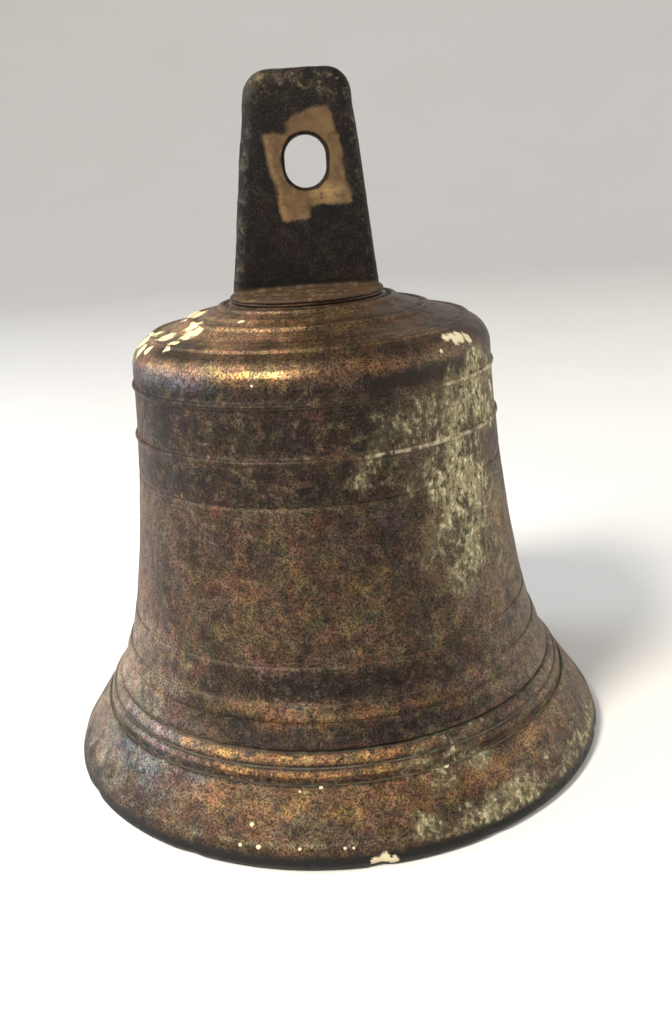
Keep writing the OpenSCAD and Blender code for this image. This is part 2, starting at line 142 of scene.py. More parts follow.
# %% Finishes
class Finish:
    """A material, with the places on the piece in millimetres and one method that adds nodes."""

    def __init__(self, name, **constants):
        self.material = bpy.data.materials.new(name)
        self.material.use_nodes = True
        self.tree = self.material.node_tree
        self.shader = self.tree.nodes["Principled BSDF"]
        for socket, value in constants.items():
            self.shader.inputs[socket.replace("_", " ")].default_value = value
        coordinates = self.add("TexCoord", out="Object")
        self.place = self.add("VectorMath", {"operation": "SCALE"},
                              {"Vector": coordinates, "Scale": 1 / MM})
        self.x, self.y, self.z = (self.add("SeparateXYZ", {}, {0: self.place}, axis)
                                  for axis in "XYZ")

    def add(self, kind, settings=None, values=None, out=0):
        node = self.tree.nodes.new("ShaderNode" + kind)
        for setting, value in (settings or {}).items():
            setattr(node, setting, value)
        for socket, value in (values or {}).items():
            self.feed(node.inputs[socket], value)
        return Wire(self, node.outputs[out])

    def feed(self, socket, value):
        if isinstance(value, Wire):
            self.tree.links.new(value.socket, socket)
        else:
            socket.default_value = value

    def mottle(self, size, detail=3, roughness=0.55, place=None, spread=0.0, out=0):
        """Cloudy noise whose largest blots are size mm across, from about 0.25 to 0.75."""
        return self.add("TexNoise", {}, {
            "Vector": place or self.place, "Scale": 1 / size, "Detail": detail,
            "Roughness": roughness, "Distortion": spread}, out)

    def shifted(self, offset, stretch=(1, 1, 1)):
        """The place moved by offset and stretched, so that two noises don't repeat each other."""
        return self.add("Mapping", {}, {"Vector": self.place, "Location": offset, "Scale": stretch})

    def blend(self, factor, first, second, mode="MIX"):
        """A colour from first to second as factor goes from 0 to 1; a tuple is a screen colour."""
        mix = self.tree.nodes.new("ShaderNodeMix")
        mix.data_type = "RGBA"
        mix.blend_type = mode
        for socket, value in zip((0, 6, 7), (factor, first, second)):
            self.feed(mix.inputs[socket], srgb(*value) if isinstance(value, tuple) else value)
        return Wire(self, mix.outputs[2])

    def layer(self, under, *coats):
        """Coats of (mask, colour) laid over a colour, one after another."""
        for mask, colour in coats:
            under = self.blend(mask, under, colour)
        return under

    def bump(self, height, distance):
        """A Bump node on a height from 0 to 1; distance is in mm."""
        values = {"Height": height, "Strength": 1.0, "Distance": distance * MM}
        return self.add("Bump", {}, values)

    def set(self, **sockets):
        for socket, value in sockets.items():
            self.feed(self.shader.inputs[socket.replace("_", " ")], value)
        return self.material


def srgb(red, green, blue):
    """A colour named by its 0 to 255 screen values, as the linear numbers that shaders take."""
    def linear(value):
        value /= 255
        return value / 12.92 if value <= 0.04045 else ((value + 0.055) / 1.055) ** 2.4
    return (linear(red), linear(green), linear(blue), 1)


print("finishes are ready")

# %% [markdown]
# ## Floor and light
# The bell stands on something pale. The floor bends up into a wall all round, so no view has a
# horizon across it: a circle's rim is extruded outwards and then upwards in small steps.

# %% The floor
def piece_of(mesh_maker, name, *materials):
    """Turns a bmesh into an object at the origin that carries the materials."""
    mesh = bpy.data.meshes.new(name)
    mesh_maker.to_mesh(mesh)
    mesh_maker.free()
    for material in materials:
        mesh.materials.append(material)
    thing = bpy.data.objects.new(name, mesh)
    bpy.context.scene.collection.objects.link(thing)
    return thing


def smooth_faces(mesh_maker):
    for face in mesh_maker.faces:
        face.smooth = True
    mesh_maker.normal_update()


def pale_floor():
    paint = Finish("pale floor", Roughness=0.6)
    colour = paint.blend(paint.mottle(180), (232, 230, 227), (239, 238, 236))
    return paint.set(Base_Color=colour)


FLOOR_REACH, COVE_R, COVE_STEPS, WALL_H = 1.6, 1.2, 12, 1.6
sweep = bmesh.new()
bmesh.ops.create_circle(sweep, cap_ends=True, segments=96, radius=FLOOR_REACH)
rim = sweep.edges[:]
for step in range(1, COVE_STEPS + 2):
    turn = math.radians(min(step, COVE_STEPS) * 90 / COVE_STEPS)
    reach = FLOOR_REACH + COVE_R * math.sin(turn)
    height = COVE_R * (1 - math.cos(turn)) + (WALL_H if step > COVE_STEPS else 0)
    grown = bmesh.ops.extrude_edge_only(sweep, edges=rim)["geom"]
    ring = [part for part in grown if isinstance(part, bmesh.types.BMVert)]
    rim = [part for part in grown if isinstance(part, bmesh.types.BMEdge)
           and part.verts[0] in ring and part.verts[1] in ring]
    for vert in ring:
        vert.co = Vector((vert.co.x, vert.co.y, 0)).normalized() * reach + Vector((0, 0, height))
smooth_faces(sweep)
floor = piece_of(sweep, "floor", pale_floor())
print("the floor has", len(floor.data.polygons), "faces")

# %% [markdown]
# A lamp stands high on the left in front, and a cooler window far round on the left. Big area
# lamps give the soft edges of room light. The rest of the room is one even world colour: a
# picture of a room would put shapes into the gloss that nobody placed.

# %% Room and lamps
BELL_MIDDLE = Vector((0, 0, 0.11))


def lamp(name, towards, distance, size, watts, colour):
    """A round area lamp that stands off the middle of the bell and faces it."""
    light = bpy.data.lights.new(name, "AREA")
    light.shape = "DISK"
    light.size = size
    light.energy = watts
    light.color = colour
    thing = bpy.data.objects.new(name, light)
    bpy.context.scene.collection.objects.link(thing)
    direction = Vector(towards).normalized()
    thing.matrix_world = (Matrix.Translation(BELL_MIDDLE + direction * distance)
                          @ direction.to_track_quat("Z", "Y").to_matrix().to_4x4())


room = bpy.data.worlds.new("room")
room.use_nodes = True
glow = room.node_tree.nodes["Background"].inputs
glow["Color"].default_value = srgb(226, 226, 228)
glow["Strength"].default_value = 0.5
bpy.context.scene.world = room

lamp("key lamp", (-0.50, -0.48, 0.72), 1.3, 0.36, 24, (1.0, 0.93, 0.82))
lamp("window", (-0.88, 0.16, 0.44), 1.6, 0.70, 15, (0.80, 0.89, 1.0))
lamp("right fill", (0.95, 0.10, 0.30), 1.5, 0.90, 9, (1.0, 0.96, 0.88))
bpy.context.scene.view_settings.view_transform = "Standard"
print("a room and 3 lamps")

# %% [markdown]
# ## Tools for castings
# A casting starts from its CAD node, so that it fits everything round it. A turned piece is cut
# through its axis to get its section, which is spun again with many even steps: the CAD mesh has
# long thin triangles, and nothing small can be shaped or weathered on those.

# %% Sections and spins
WELD = 0.001


def merged_copy(node):
    """The CAD node's mesh as a bmesh with its triangles joined."""
    mesh_maker = bmesh.new()
    mesh_maker.from_mesh(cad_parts[node].data)
    bmesh.ops.remove_doubles(mesh_maker, verts=mesh_maker.verts, dist=WELD * MM)
    return mesh_maker


def section_of(node, closest=0.06):
    """One side of the node's section through its axis, as a closed loop of edges."""
    cut = merged_copy(node)
    bmesh.ops.bisect_plane(cut, geom=cut.verts[:] + cut.edges[:] + cut.faces[:],
                           plane_co=(0, 0, 0), plane_no=(0, 1, 0),
                           clear_inner=True, clear_outer=True)
    bmesh.ops.delete(cut, geom=[v for v in cut.verts if v.co.x > 0], context="VERTS")
    bmesh.ops.remove_doubles(cut, verts=cut.verts, dist=closest * MM)
    return cut


def split_long(mesh_maker, longest):
    """Splits each edge that is over longest(edge) millimetres."""
    work = []
    for edge in mesh_maker.edges:
        cuts = math.ceil(edge.calc_length() / MM / longest(edge)) - 1
        if cuts > 0:
            work.append((edge, cuts))
    for edge, cuts in work:
        bmesh.ops.subdivide_edges(mesh_maker, edges=[edge], cuts=cuts)


def spun(section, steps):
    bmesh.ops.spin(section, geom=section.verts[:] + section.edges[:], cent=(0, 0, 0),
                   axis=(0, 0, 1), angle=math.tau, steps=steps, use_merge=True)
    bmesh.ops.recalc_face_normals(section, faces=section.faces)
    return section


print("the bell's section has", len(section_of("bell_body").verts), "points in the CAD mesh")

# %% [markdown]
# Noise roughens a skin all over. A dent is a push that fades with the distance from one point, so
# one helper does for the bell's knocked lip, the hanger's chips and the worn sides of the ball.

# %% Rough skins and dents
def roughen(mesh_maker, *waves):
    """Lifts the skin along its normals by noises of (height, size) in millimetres."""
    lifts = []
    for vert in mesh_maker.verts:
        lifts.append(sum(height * noise.noise(vert.co / (size * MM)) for height, size in waves))
    for vert, lift in zip(mesh_maker.verts, lifts):
        vert.co += vert.normal * lift * MM
    mesh_maker.normal_update()


def dent(mesh_maker, where, inward, depth, reach):
    """Presses a soft hollow, depth deep, into the skin near a point; all in millimetres."""
    centre = Vector(where) * MM
    push = Vector(inward).normalized() * depth * MM
    for vert in mesh_maker.verts:
        gap = (vert.co - centre).length / MM
        if gap < 2.5 * reach:
            vert.co += push * math.exp(-(gap / reach) ** 2)


print("noise and dents are ready")

# %% [markdown]
# ## The bell's skin
# The section's long edges are split, finely outside and coarsely inside where nobody looks
# closely. The waist comes out of the CAD as a dozen straight chords, and its points are drawn
# smooth along the section, with the mouldings held. A Subdivision Surface would round those too.

# %% Cut and spin the bell
OUTSIDE_STEP, INSIDE_STEP = 1.6, 4.0
SPIN_STEPS = 280
HOLLOW_TOP, THINNEST_WALL = 161, 4
MOULDINGS = [(0, 36), (40, 48.5), (57.7, 59.7), (109.4, 111.4), (123, 126.4), (141, 200)]
WORN_LOW, WORN_HIGH = 52, 150
section = section_of("bell_body", closest=0.2)


def outermost(height):
    """The section's largest radius at a height, in metres."""
    crossings = []
    for edge in section.edges:
        a, b = (v.co for v in edge.verts)
        if min(a.z, b.z) <= height <= max(a.z, b.z) and a.z != b.z:
            crossings.append(-a.x - (b.x - a.x) * (height - a.z) / (b.z - a.z))
    return max(crossings, default=0)


def longest_edge(edge):
    middle = (edge.verts[0].co + edge.verts[1].co) / 2
    inside = (middle.z < HOLLOW_TOP * MM
              and -middle.x < outermost(middle.z) - THINNEST_WALL * MM)
    return INSIDE_STEP if inside else OUTSIDE_STEP


def drawn_smooth(points, passes, factor):
    """Moves the points to and from the axis only, so their heights stay."""
    for _ in range(passes):
        bmesh.ops.smooth_vert(section, verts=points, factor=factor, use_axis_x=True)


split_long(section, longest_edge)
drawn_smooth([v for v in section.verts
              if not any(low * MM <= v.co.z <= high * MM for low, high in MOULDINGS)], 40, 0.5)
drawn_smooth([v for v in section.verts if WORN_LOW * MM < v.co.z < WORN_HIGH * MM], 4, 0.35)
print("the section has", len(section.verts), "points")
bell = spun(section, SPIN_STEPS)
print("the spun bell has", len(bell.faces), "faces")

# %% [markdown]
# A bell is cast in loam or sand and then turned, so its skin is even but never perfect. Three
# gentle noises give the ripple. Its lip has been knocked on stone floors: each knock is a dent
# that fades over a few millimetres, and the deepest one is in front.

# %% Ripple and knocks
LIP_R = 102
KNOCKS = [(5, 0.8, 1.0, 2.8), (28, 1.5, 0.5, 3), (-31, 1.2, 0.45, 3.5), (-62, 2, 0.5, 4),
          (71, 1.4, 0.6, 3), (118, 1.5, 0.7, 4), (163, 1, 0.6, 3), (-104, 1.6, 0.6, 4),
          (-147, 1.2, 0.5, 3)]

bell.normal_update()
roughen(bell, (0.13, 26), (0.05, 7), (0.025, 2.5))
for azimuth, height, depth, reach in KNOCKS:
    out_x, out_y = math.sin(math.radians(azimuth)), -math.cos(math.radians(azimuth))
    dent(bell, (LIP_R * out_x, LIP_R * out_y, height), (-out_x, -out_y, 0.25), depth, reach)
for vert in bell.verts:
    vert.co.z = max(vert.co.z, 0)
bell.normal_update()
print(len(KNOCKS), "knocks on the lip")

# %% [markdown]
# Wear and dirt follow the form: hands and cloths rub the ridges bright, and wax and soot stay in
# the creases. The curvature of the mesh tells which is which. It is measured at each point and
# also spread over the neighbours: the ridges take from both, and the soft dirt beside a moulding
# from the spread one alone.

# %% Measure ridges and creases
SHARP_SHARE, SOFT_SHARE, RIDGE_GAIN, CREASE_GAIN = 0.6, 2, 4, 12


def store_curvature(mesh_maker, spread_steps):
    """Adds the layers "ridge" and "crease", each from 0 to 1."""
    bends = []
    for vert in mesh_maker.verts:
        around = [edge.other_vert(vert).co - vert.co for edge in vert.link_edges]
        bends.append(-sum(vert.normal.dot(step) for step in around)
                     / max(sum(step.length_squared for step in around), 1e-12) * MM)
    broad = bends[:]
    links = [[edge.other_vert(vert).index for edge in vert.link_edges]
             for vert in mesh_maker.verts]
    for _ in range(spread_steps):
        broad = [(value + sum(broad[i] for i in near)) / (1 + len(near))
                 for value, near in zip(broad, links)]
    ridge = mesh_maker.verts.layers.float.new("ridge")
    crease = mesh_maker.verts.layers.float.new("crease")
    for vert, sharp, soft in zip(mesh_maker.verts, bends, broad):
        vert[ridge] = min(max(SHARP_SHARE * sharp + SOFT_SHARE * soft, 0) * RIDGE_GAIN, 1)
        vert[crease] = min(max(-soft, 0) * CREASE_GAIN, 1)


bell.verts.index_update()
store_curvature(bell, 6)
print("ridges and creases are stored")

# %% [markdown]
# ## Old bell bronze
# The colour is a stack of thin coats, laid from the metal outwards: brown bronze with its rubbed
# and waxed places, dirt in the creases and the grain, green verdigris, and last the paint. Every
# coat is a mask and a colour. The masks are read from height and azimuth in millimetres and
# degrees, with their edges stirred by noise, because corrosion follows damp and never a ruler.

# %% Masks round the bell
class Weathered(Finish):
    """A finish with stirred height and azimuth, so that its patches have ragged edges.

    The azimuth is in degrees: 0 faces the camera, and it grows to the camera's right.
    """

    STIR_TURN, STIR_HEIGHT = 44, 30

    def __init__(self, name, **constants):
        super().__init__(name, **constants)
        self.azimuth = self.x.maths("ARCTAN2", self.x, 0 - self.y) * math.degrees(1)
        broad = self.mottle(16, 4, 0.6)
        other = self.mottle(11, 4, 0.6, self.shifted((40, 7, 3)))
        self.stirred_azimuth = self.azimuth + (broad - 0.5) * self.STIR_TURN
        self.stirred_z = self.z + (other - 0.5) * self.STIR_HEIGHT
        self.grain = self.mottle(0.7, 3, 0.8)
        self.speckle = self.mottle(3.2, 5, 0.65, self.shifted((9, 2, 31)))
        self.cloud = self.mottle(28, 4, 0.6, self.shifted((3, 60, 5)))
        self.ridge = self.add("Attribute", {"attribute_name": "ridge"}, out="Fac")
        self.crease = self.add("Attribute", {"attribute_name": "crease"}, out="Fac")

    def patch(self, left, right, low, high, soft_turn=8, soft_height=6):
        """A ragged patch between two azimuths and two heights."""
        return (self.stirred_azimuth.within(left, right, soft_turn)
                * self.stirred_z.within(low, high, soft_height))

    def side(self, start, end):
        """Ragged: 0 at azimuth start, 1 from azimuth end on, and 0 again round the back."""
        turned_away = self.azimuth.maths("ABSOLUTE", self.azimuth).above(172, 112)
        return self.stirred_azimuth.above(start, end) * turned_away

    def stained(self, colour, *stains):
        """Soft stains of (offset, size, share, colour), each in its own clouds."""
        for offset, size, share, stain in stains:
            cloud = self.mottle(size, 5, 0.64, self.shifted((offset, 3 * offset, 7 * offset)))
            colour = self.blend(cloud.above(0.48, 0.66) * share, colour, stain)
        return colour

    def ragged(self, value, reach):
        """A height or distance whose edge the speckle stirs by up to about half of reach."""
        return value + (self.speckle - 0.5) * reach

    def ground_in(self, colour, darkest, lift):
        """Darkens a colour with the dirt that fills the grain, at three scales, then lifts it."""
        blots = self.mottle(5, 6, 0.75, self.shifted((13, 44, 21)))
        smoke = self.mottle(15, 4, 0.6, self.shifted((51, 4, 70)))
        for dirt, dark in ((self.grain, darkest), (blots, (180, 176, 184)),
                           (smoke, (206, 206, 212))):
            shade = self.blend(dirt.above(0.36, 0.64), dark, (255, 253, 250))
            colour = self.blend(1.0, colour, shade, "MULTIPLY")
        for size, share in ((1.3, 0.26), (8, 0.4)):
            tints = self.mottle(size, 3, 0.7, self.shifted((size, 70, 33)), out="Color")
            colour = self.blend(share, colour, tints, "OVERLAY")
        return self.add("VectorMath", {"operation": "SCALE"}, {0: colour, "Scale": lift})

    def band(self, low, high, soft):
        """A clean turned band between two heights."""
        return self.z.within(low, high, soft)

    def spots(self, places):
        """Ragged spots at places of (azimuth, radius, height, size); the nearest one counts."""
        nearest = None
        for azimuth, radius, height, size in places:
            turn = math.radians(azimuth)
            centre = (radius * math.sin(turn), -radius * math.cos(turn), height)
            away = self.add("VectorMath", {"operation": "DISTANCE"},
                            {0: self.place, 1: centre}, "Value") / size
            nearest = away if nearest is None else nearest.maths("MINIMUM", nearest, away)
        return (self.ragged(nearest, 1.8) + (self.grain - 0.5) * 1.4).above(1.15, 0.9)


print("weathered finishes are ready")

# %% [markdown]
# Cream paint was once splashed on the crown, and white flecks sit here and there down to the lip.
# Each is a place with a size, and the finish stirs its edge. Verdigris lies where damp reached:
# in overlapping patches on the right side and along the lip, with a little more made up for the
# back. Inside a patch the crust is a noise cut off at a threshold, so it breaks up into islands:
# thick pale crust, thin green stain and dark pits.

# %% Paint, flecks and verdigris
# azimuth, radius, height, size
CREAM_PAINT = [
    (-85, 56, 157.6, 4.6), (-70, 52.5, 158.8, 4), (-57, 54.5, 158, 2.6), (-55, 56.5, 157.3, 2.2),
    (-82, 58.5, 156.7, 4), (-73.5, 60.5, 155.4, 2.8), (-67, 59.6, 156, 2), (-57.5, 47, 160.8, 4),
    (-66, 43, 162.2, 3.8), (-92, 41, 163, 4.6), (-102, 41, 163.2, 4), (-112, 36, 164.7, 4),
    (-128, 34, 165.4, 4), (-140, 32, 166, 3.4)]
WHITE_FLECKS = [
    (46.6, 60, 155.8, 2), (49.6, 60.4, 155.4, 2.5), (53, 60.8, 155, 2.7), (56.2, 61.6, 154.4, 2.3),
    (49, 54.7, 157.9, 0.9), (41, 62.7, 153.1, 0.8), (-37.7, 37, 164.4, 1.2),
    (-17.3, 64.1, 149.4, 0.5), (70, 65, 136.6, 1.3), (71.5, 65, 134.4, 1.4),
    (-18.6, 96.5, 13.1, 0.7), (-9.3, 90, 22, 0.6), (-4.9, 89.5, 23.3, 0.6),
    (-20.4, 100.3, 7.7, 0.6), (-16.8, 100.3, 7.8, 0.7), (-9, 100.2, 7.9, 0.5),
    (-0.8, 100.3, 7.8, 0.5), (0.8, 100.3, 7.6, 0.4), (22.2, 89.3, 23.6, 0.8),
    (4.6, 101.6, 2.4, 1.7), (6.2, 101.8, 3.2, 1.8), (7.8, 101.8, 2.2, 1.6)]
# left and right azimuth, low and high, the softness of both, share
DAMP_PLACES = [
    (46, 78, 126, 147, 10, 3, 1.25), (18, 44, 127, 139, 10, 4, 0.48),
    (30, 54, 108, 126, 8, 6, 0.66), (40, 56, 98, 122, 7, 7, 0.5), (36, 58, 78, 110, 10, 9, 0.9),
    (8, 22, 117, 124, 5, 3, 0.4), (12, 78, 5, 10, 8, 2, 0.6), (19, 34, 21, 30, 6, 3, 0.5),
    (120, 165, 40, 120, 20, 20, 0.6), (-150, -120, 100, 140, 8, 6, 0.5)]


def laid_verdigris(skin, colour):
    """Lays the green coats over a colour, and returns it with the share of loose crust."""
    damp = sum(skin.patch(*place) * share for *place, share in DAMP_PLACES).capped()
    streaks = skin.mottle(8, 6, 0.7, skin.shifted((1, 2, 3), (1, 1, 0.6)), 0.25)
    lumps = skin.mottle(2.1, 4, 0.8, skin.shifted((17, 5, 8), (1, 1, 0.7)))
    greens = skin.mottle(2.2, 4, 0.7, skin.shifted((8, 1, 20)))
    browns = skin.mottle(4, 4, 0.65, skin.shifted((30, 11, 2)))
    film = damp * streaks.above(0.32, 0.56)
    powder = (lumps * 0.65 + streaks * 0.35 + damp * 0.08).above(0.5, 0.585) * film
    crust = lumps.above(0.55, 0.62) * powder
    pits = lumps.above(0.46, 0.4) * damp
    colour = skin.layer(
        colour, (film * 0.75, (112, 101, 75)),
        (browns.above(0.48, 0.56) * film * 0.7, (84, 68, 50)),
        (greens.above(0.47, 0.57) * film * 0.8, (76, 94, 68)),
        (powder * 0.74, (172, 162, 126)),
        (browns.above(0.54, 0.62) * powder * 0.6, (148, 126, 92)),
        (crust * 0.85, (238, 230, 198)), (pits * 0.85, (34, 36, 26)),
        (skin.grain.above(0.48, 0.34) * film * 0.5, (58, 56, 42)))
    return colour, powder


print(len(CREAM_PAINT) + len(WHITE_FLECKS), "spots and", len(DAMP_PLACES), "damp places")

# %% [markdown]
# Waist, flare and skirt are one brown, but hands rubbed the front gold, and dark wax lies in bands
# between the mouldings. The left flank and both sides of the flare are painted paler as reflections
# of the pale room, and the bead fronts carry a painted highlight.

# %% Colours of waist and flare
def weathered_waist(skin, colour, lit_bead_fronts):
    """Lays the rubbed, pale and dark places of the waist, the flare and the skirt; the pale flanks
    are painted reflections.
    """
    # Painted reflections: the left flank and both sides of the flare are paler where they turn to
    # the grazing sides.
    lit_left_flank = skin.side(-34, -76) * skin.band(60, 128, 8) * 0.65
    flare_left_reflection = skin.side(-32, -74) * skin.band(24, 62, 4) * 0.7
    flare_right_reflection = skin.side(26, 74) * skin.band(12, 60, 4) * 0.65
    foot_specks = skin.patch(-60, -44, 14, 32, 5, 4) * skin.speckle.above(0.46, 0.6) * 0.6
    gold_front = skin.patch(-32, 12, 60, 92, 12, 10) * skin.speckle.above(0.34, 0.6) * 0.55
    ragged_z = skin.ragged(skin.z, 9)
    low_bands = ragged_z.within(48, 57, 3) * 0.85 + ragged_z.within(33.5, 39.5, 2.4) * 0.7
    high_bands = (ragged_z.within(110.5, 123, 2.4) + ragged_z.within(127, 149, 2.4)) * 0.7
    dark_bands = (low_bands * skin.stirred_azimuth.within(-32, 30, 18)
                  + high_bands * skin.stirred_azimuth.within(-72, 32, 18)).capped()
    dark_patch = skin.patch(-18, -4, 58, 70, 8, 5) * 0.5 + skin.patch(14, 30, 60, 108, 8, 12) * 0.35
    colour = skin.layer(
        colour, (lit_left_flank, (146, 120, 104)), (flare_left_reflection, (190, 170, 146)),
        (flare_right_reflection, (158, 140, 116)),
        (skin.patch(-80, -36, 12, 34, 10, 6) * 0.6, (134, 138, 140)),
        # a painted pale reflection along the far left edge of the flare
        (skin.patch(-88, -62, 11, 40, 8, 4) * 0.55, (204, 180, 150)),
        (foot_specks, (140, 158, 158)), (gold_front, (142, 114, 76)),
        (skin.patch(-60, 70, 5, 14, 14, 4) * 0.4, (128, 106, 76)),
        (skin.patch(-34, 62, 15, 24, 14, 4) * 0.7, (168, 132, 88)),
        (lit_bead_fronts, (172, 136, 92)), (dark_bands, (42, 36, 30)),
        (dark_patch, (50, 42, 34)), (skin.patch(-46, -18, 92, 107) * 0.45, (66, 45, 36)),
        (skin.patch(-90, -44, 2, 10, 14, 3) * 0.7, (58, 58, 55)))
    return skin.stained(colour, (61, 3.5, 0.45, (136, 118, 92)),
                        (71, 3, 0.5, (50, 44, 40)))


print("the waist's coats are ready")

# %% [markdown]
# The crown is tan on the left and painted lighter there, where the key lamp falls, and it is
# painted darker on its right as shade. Its turning marks are a noise that reads only radius and
# height, and such a noise makes rings. The beads are bands of height, with a painted highlight on
# top and painted shade in the grooves.

# %% Colours of crown and beads
def turned_crown(skin, colour, crown):
    """Lays the tan side with painted key light on it, the dark places with painted shade on the
    right, and the turning marks on the crown.
    """
    ring_r = (skin.x ** 2 + skin.y ** 2) ** 0.5
    rings = skin.mottle(1.7, 4, 0.7, skin.add("CombineXYZ", {}, {0: ring_r, 1: skin.z}))
    tan_and_lit_left = skin.side(14, -34)
    tan_rings = ring_r.within(36, 41, 1.5) + ring_r.within(46, 50, 1.5)
    by_the_paint = skin.azimuth.within(-58, -36, 5) * ring_r.within(53, 62, 1.5)
    outer_ring = skin.azimuth.within(-64, 40, 8) * ring_r.within(57.5, 62, 1)
    front = skin.azimuth.within(-14, 30, 6) * ring_r.within(44, 62, 2)
    coats = [
        # the tan left side also carries painted light from the key lamp
        (0.8, (130, 102, 70)), (tan_and_lit_left * ring_r.above(28, 40) * 0.75, (186, 150, 104)),
        (by_the_paint * 0.75, (66, 58, 40)), (outer_ring * 0.6, (64, 50, 36)),
        (front * 0.35, (62, 45, 31)), (tan_and_lit_left * tan_rings * 0.4, (226, 186, 138)),
        # painted shade on the crown's right side
        (skin.side(14, 64) * 0.5, (60, 46, 36)),
        (rings.above(0.52, 0.38) * 0.5, (50, 36, 26)),
        (skin.cloud.above(0.5, 0.62) * 0.4, (44, 34, 24))]
    return skin.layer(colour, *((crown * share, coat) for share, coat in coats))


def painted_beads(skin, colour):
    """Lays painted highlights on the bead tops, painted shade in their grooves, and a painted
    highlight along the lip's edge.
    """
    # The bead tops get a painted highlight from the key lamp above, with a paler painted reflection
    # further left.
    bead_highlights = ((skin.band(29.6, 31.6, 0.7) + skin.band(25.6, 27.2, 0.7))
            * skin.speckle.above(0.38, 0.56))
    groove_shade = ((skin.band(27.6, 28.9, 0.6) + skin.band(22.9, 24.6, 0.7))
               * skin.stirred_azimuth.within(-66, 44, 14) * skin.speckle.above(0.3, 0.5))
    lip_edge_highlight = (skin.band(7.9, 9.1, 0.6) * skin.stirred_azimuth.within(-66, 74, 12)
                * skin.speckle.above(0.46, 0.6))
    return skin.layer(
        colour, (groove_shade * 0.85, (44, 36, 26)),
        (bead_highlights * skin.stirred_azimuth.within(-38, 18, 12) * 0.85, (212, 168, 108)),
        (bead_highlights * skin.stirred_azimuth.within(-58, -40, 6) * 0.6, (178, 156, 146)),
        (lip_edge_highlight * 0.6, (168, 160, 132)))


print("the coats of crown and beads are ready")

# %% [markdown]
# The whole finish is laid in order: brown metal and its places, then what the ridges and creases
# ask for, with painted highlights on the shoulder's edge and the bead ridges, then the dirt in the
# grain, a painted shadow under the right of the shoulder, the verdigris, and the paint on top with
# a painted shadow along the lip. Crust, paint, grime and the lip's painted shadow aren't metal, so
# the same masks lower Metallic and raise Roughness.

# %% The bell's outside
def bell_bronze():
    skin = Weathered("old bell bronze", IOR=1.36)
    colour = skin.blend(skin.cloud.above(0.36, 0.64), (80, 63, 48), (106, 82, 60))
    colour = skin.stained(colour, (11, 9, 0.6, (122, 80, 60)), (31, 7, 0.6, (94, 92, 64)),
                          (23, 12, 0.6, (106, 92, 90)), (47, 6, 0.7, (60, 60, 52)))
    # A painted highlight on the fronts of the beads and the raised band, brightest on their rubbed
    # ridges.
    lit_bead_fronts = (skin.patch(-44, 18, 24, 31, 12, 2) * 0.45
                  + skin.patch(-24, 34, 41, 46.4, 20, 1) * 0.4)
    crown = skin.z.above(148, 153)
    colour = weathered_waist(skin, colour, lit_bead_fronts)
    colour = turned_crown(skin, colour, crown)
    colour = painted_beads(skin, colour)

    rubbed = skin.ridge.above(0.25, 0.95) * skin.speckle.above(0.44, 0.6)
    grime = skin.crease.above(0.2, 0.9) * skin.speckle.above(0.36, 0.56)
    # Painted highlights on the shoulder's rounding: the key lamp's gold reflection in front, and
    # the window's blue-grey reflection on the left.
    shoulder_highlight = (skin.azimuth.within(-24, -6, 6) * skin.band(151.6, 153.4, 0.6)
                 * skin.speckle.above(0.3, 0.5))
    shoulder_window_reflection = (skin.azimuth.within(-80, -32, 8) * skin.band(147, 152.6, 1.4)
                 * skin.speckle.above(0.34, 0.56))
    colour = skin.layer(
        colour, (rubbed * 0.45, (186, 148, 96)), (grime * 0.85, (26, 21, 17)),
        (rubbed * lit_bead_fronts, (232, 190, 122)), (shoulder_highlight, (246, 208, 140)),
        (shoulder_window_reflection * 0.6, (126, 128, 146)))

    haze = skin.side(14, 62) * skin.band(60, 147, 10) * skin.cloud.above(0.28, 0.6) * 0.6
    # A painted shadow band under the shoulder's edge on the right.
    shoulder_shadow = (skin.stirred_azimuth.within(18, 50, 8)
                 * skin.ragged(skin.z, 5).within(144.5, 150.4, 1.6))
    colour = skin.blend(haze, colour, (166, 146, 114))
    colour = skin.ground_in(colour, (94, 92, 98), 1.49)
    colour = skin.blend(shoulder_shadow * 0.85, colour, (30, 25, 20))
    colour, crust = laid_verdigris(skin, colour)

    # Pale crust on the two wires on the right, with a painted highlight along their edges.
    pale_lit_wires = ((skin.band(124.4, 125.5, 0.3) * skin.stirred_azimuth.within(17, 66, 5)
                   + skin.band(142.3, 143.3, 0.3) * skin.stirred_azimuth.within(44, 85, 5))
                  * skin.speckle.above(0.42, 0.58))
    # A painted contact shadow along the bottom of the lip.
    lip_shadow = skin.ragged(skin.z, 3).above(6.4, 4.2)
    cream = skin.spots(CREAM_PAINT)
    flecks = skin.spots(WHITE_FLECKS)
    colour = skin.layer(colour, (pale_lit_wires * 0.75, (196, 186, 158)),
                        (lip_shadow, (14, 12, 10)), (cream, (236, 222, 170)),
                        (flecks, (212, 200, 166)))
    paint = (cream + flecks).capped()
    metal = ((1 - crust) * (1 - lip_shadow) * (1 - paint) * (1 - grime)
             * (0.5 - haze * 0.3 + rubbed * 0.3 + shoulder_highlight * 0.3))
    rough = (0.44 - crown * 0.14 - shoulder_highlight * 0.1 + skin.speckle.above(0.3, 0.7) * 0.16
             + crust * 0.4 + grime * 0.5 + haze * 0.2 - rubbed * 0.06 + paint * 0.2)
    height = skin.grain * 0.5 + skin.speckle * 0.45 + crust * 0.4 + paint * 0.8
    return skin.set(Base_Color=colour, Metallic=metal, Roughness=rough,
                    Normal=skin.bump(height, 0.42))


bell_outside = bell_bronze()
print("the bell's outside has", len(bell_outside.node_tree.nodes), "shader nodes")

# %% [markdown]
# Inside, nobody ever polished the bell. It is darker and duller, with powdery green near the lip,
# and two bright ovals on the sound bow where the clapper has struck it for years.

